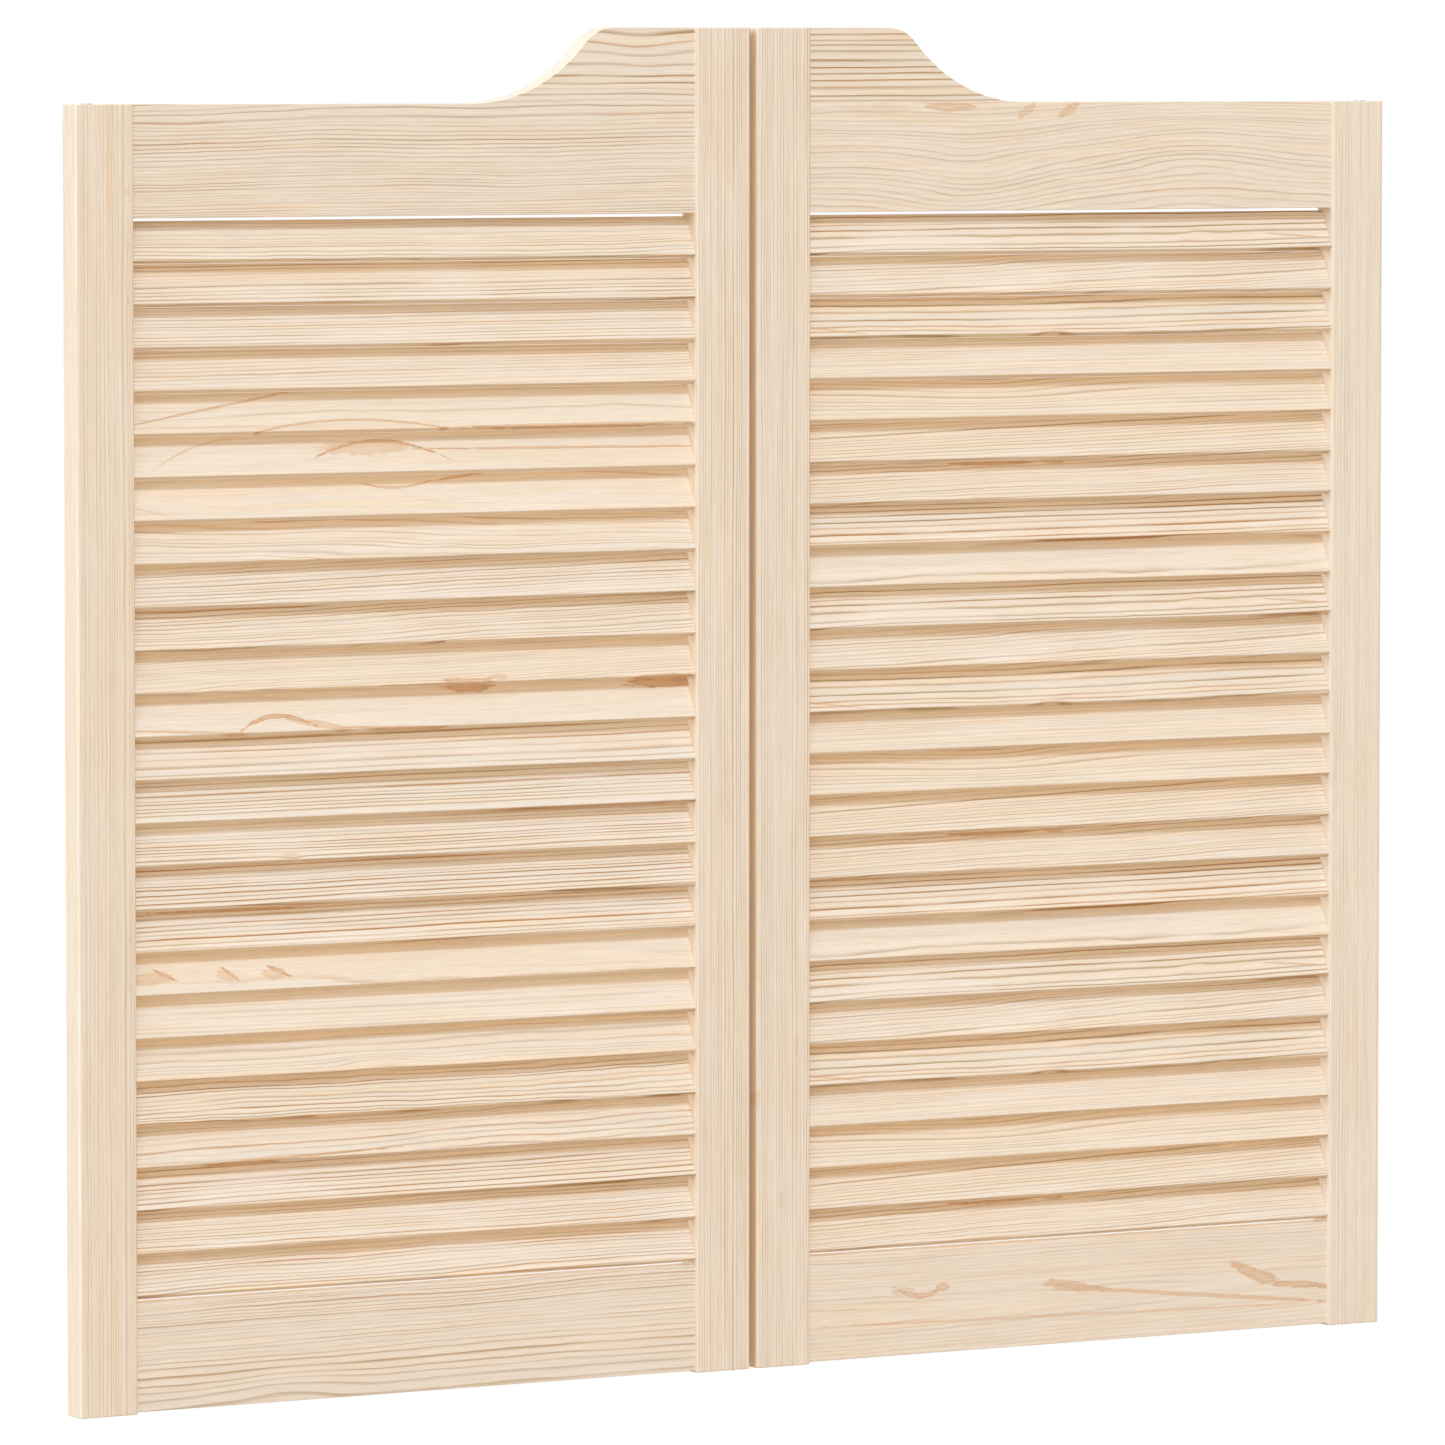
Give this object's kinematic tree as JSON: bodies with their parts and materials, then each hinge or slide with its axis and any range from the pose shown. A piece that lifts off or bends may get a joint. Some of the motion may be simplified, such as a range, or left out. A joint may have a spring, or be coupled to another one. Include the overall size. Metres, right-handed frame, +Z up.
{
  "type": "pair of louvred cafe swinging doors",
  "caption": "Pair of louvred pine cafe doors with swept top rails, each leaf hung on concealed double-action spring pivots in its outer stile.",
  "frame": {"origin": "middle of the closed pair at mid-thickness, on the plane of the lower brackets that the pivot pins are screwed to, 0.5 mm below the stiles", "axes": "+X across the pair to the right, +Y from the front face to the back, +Z up"},
  "size_m": [1.011, 0.02, 0.9005],
  "materials": {
    "stile_pine": "raw planed pine, vertical grain, matt",
    "rail_pine": "raw planed pine, grain along the rail, matt",
    "slat_pine": "raw planed pine, grain along the slat, matt",
    "dowel_beech": "turned beech, matt",
    "bush_brass": "turned brass, satin",
    "tube_steel": "drawn steel tube, zinc plated",
    "pin_steel": "turned and ground steel",
    "spring_steel": "hard-drawn spring wire, oiled",
    "ball_steel": "polished bearing steel"
  },
  "bodies": {
    "fixed_pivots": {"left_lower_pin": "pin_steel", "left_upper_pin": "pin_steel", "left_return_spring": "spring_steel", "right_lower_pin": "pin_steel", "right_upper_pin": "pin_steel", "right_return_spring": "spring_steel"},
    "left_leaf": {"left_hinge_stile": "stile_pine", "left_meeting_stile": "stile_pine", "left_top_rail": "rail_pine", "left_bottom_rail": "rail_pine", "left_top_rail_dowels": "dowel_beech", "left_bottom_rail_dowels": "dowel_beech", "left_slat_01": "slat_pine", "left_slats_02_03": "slat_pine", "left_slats_04_05": "slat_pine", "left_slats_06_07": "slat_pine", "left_slats_08_09": "slat_pine", "left_slats_10_11": "slat_pine", "left_slats_12_13": "slat_pine", "left_slats_14_15": "slat_pine", "left_slats_16_17": "slat_pine", "left_slats_18_19": "slat_pine", "left_slats_20_21": "slat_pine", "left_slats_22_23": "slat_pine", "left_slats_24_25": "slat_pine", "left_lower_bush": "bush_brass", "left_upper_bush": "bush_brass", "left_spring_tube": "tube_steel", "left_thrust_ball": "ball_steel"},
    "right_leaf": {"right_hinge_stile": "stile_pine", "right_meeting_stile": "stile_pine", "right_top_rail": "rail_pine", "right_bottom_rail": "rail_pine", "right_top_rail_dowels": "dowel_beech", "right_bottom_rail_dowels": "dowel_beech", "right_slat_01": "slat_pine", "right_slats_02_03": "slat_pine", "right_slats_04_05": "slat_pine", "right_slats_06_07": "slat_pine", "right_slats_08_09": "slat_pine", "right_slats_10_11": "slat_pine", "right_slats_12_13": "slat_pine", "right_slats_14_15": "slat_pine", "right_slats_16_17": "slat_pine", "right_slats_18_19": "slat_pine", "right_slats_20_21": "slat_pine", "right_slats_22_23": "slat_pine", "right_slats_24_25": "slat_pine", "right_lower_bush": "bush_brass", "right_upper_bush": "bush_brass", "right_spring_tube": "tube_steel", "right_thrust_ball": "ball_steel"}
  },
  "joints": [
    {"name": "left_swing", "type": "hinge", "parent": "fixed_pivots", "child": "left_leaf", "pos_m": [-0.4925, 0, 0], "axis": [0, 0, 1], "range_deg": [-90, 90], "stiffness_Nm_per_rad": 0.21, "deforming": ["left_return_spring"]},
    {"name": "right_swing", "type": "hinge", "parent": "fixed_pivots", "child": "right_leaf", "pos_m": [0.4925, 0, 0], "axis": [0, 0, 1], "range_deg": [-90, 90], "stiffness_Nm_per_rad": 0.21, "deforming": ["right_return_spring"]}
  ]
}
